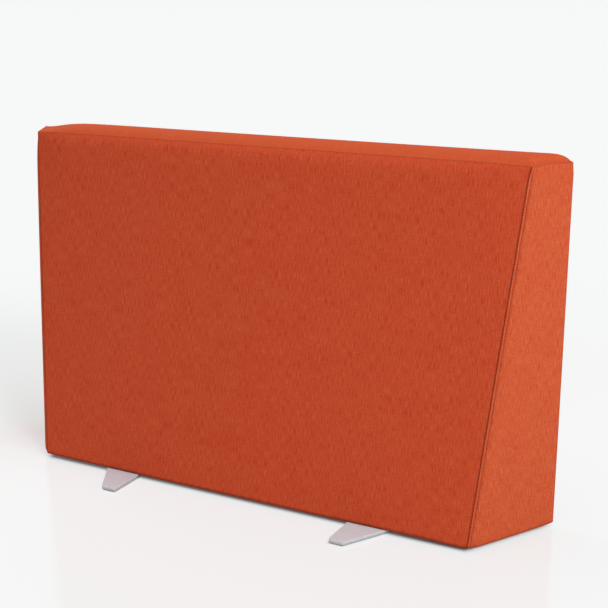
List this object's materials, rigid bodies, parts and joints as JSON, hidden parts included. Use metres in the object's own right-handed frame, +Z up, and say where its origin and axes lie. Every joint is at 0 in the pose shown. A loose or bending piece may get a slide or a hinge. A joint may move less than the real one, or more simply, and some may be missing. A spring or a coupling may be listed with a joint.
{
  "type": "bench divider",
  "caption": "Upholstered free-standing bench divider: leaning front, upright back, mitred ends, crowned top, on two flat steel feet that reach out in front.",
  "frame": {"origin": "on the floor, in the middle of the whole object's length and depth", "axes": "+X along the divider to the right as seen from its front, -Y towards the leaning front and the feet's tips, +Y towards the upright back, +Z up"},
  "size_m": [1.3674, 0.3084, 0.828],
  "materials": {
    "cover_cloth": "fine orange-red melange wool weave",
    "sewing_thread": "matched orange-red thread",
    "bottoming_cloth": "black non-woven",
    "upholstery_foam": "open-cell foam",
    "plywood": "raw birch plywood",
    "softwood": "raw sawn pine",
    "foot_paint": "pale grey satin powder coat",
    "sole_rubber": "matt black",
    "zinc_steel": "zinc plated"
  },
  "bodies": {
    "root": {"front_cover": "cover_cloth", "back_cover": "cover_cloth", "top_cover": "cover_cloth", "left_end_cover": "cover_cloth", "right_end_cover": "cover_cloth", "left_topstitching": "sewing_thread", "right_topstitching": "sewing_thread", "underside_cloth": "bottoming_cloth", "front_foam": "upholstery_foam", "back_foam": "upholstery_foam", "top_foam": "upholstery_foam", "left_end_foam": "upholstery_foam", "right_end_foam": "upholstery_foam", "front_board": "plywood", "back_board": "plywood", "base_board": "plywood", "top_rail": "plywood", "left_end_board": "plywood", "right_end_board": "plywood", "left_rib": "plywood", "centre_rib": "plywood", "right_rib": "plywood", "lower_batten_1": "softwood", "upper_batten_1": "softwood", "lower_batten_2": "softwood", "upper_batten_2": "softwood", "lower_batten_3": "softwood", "upper_batten_3": "softwood", "lower_batten_4": "softwood", "upper_batten_4": "softwood", "left_foot_plate": "foot_paint", "right_foot_plate": "foot_paint", "left_foot_sole": "sole_rubber", "right_foot_sole": "sole_rubber", "frame_screws": "zinc_steel", "hem_staples": "zinc_steel", "foot_bolts": "zinc_steel", "tee_nuts": "zinc_steel"}
  },
  "joints": []
}
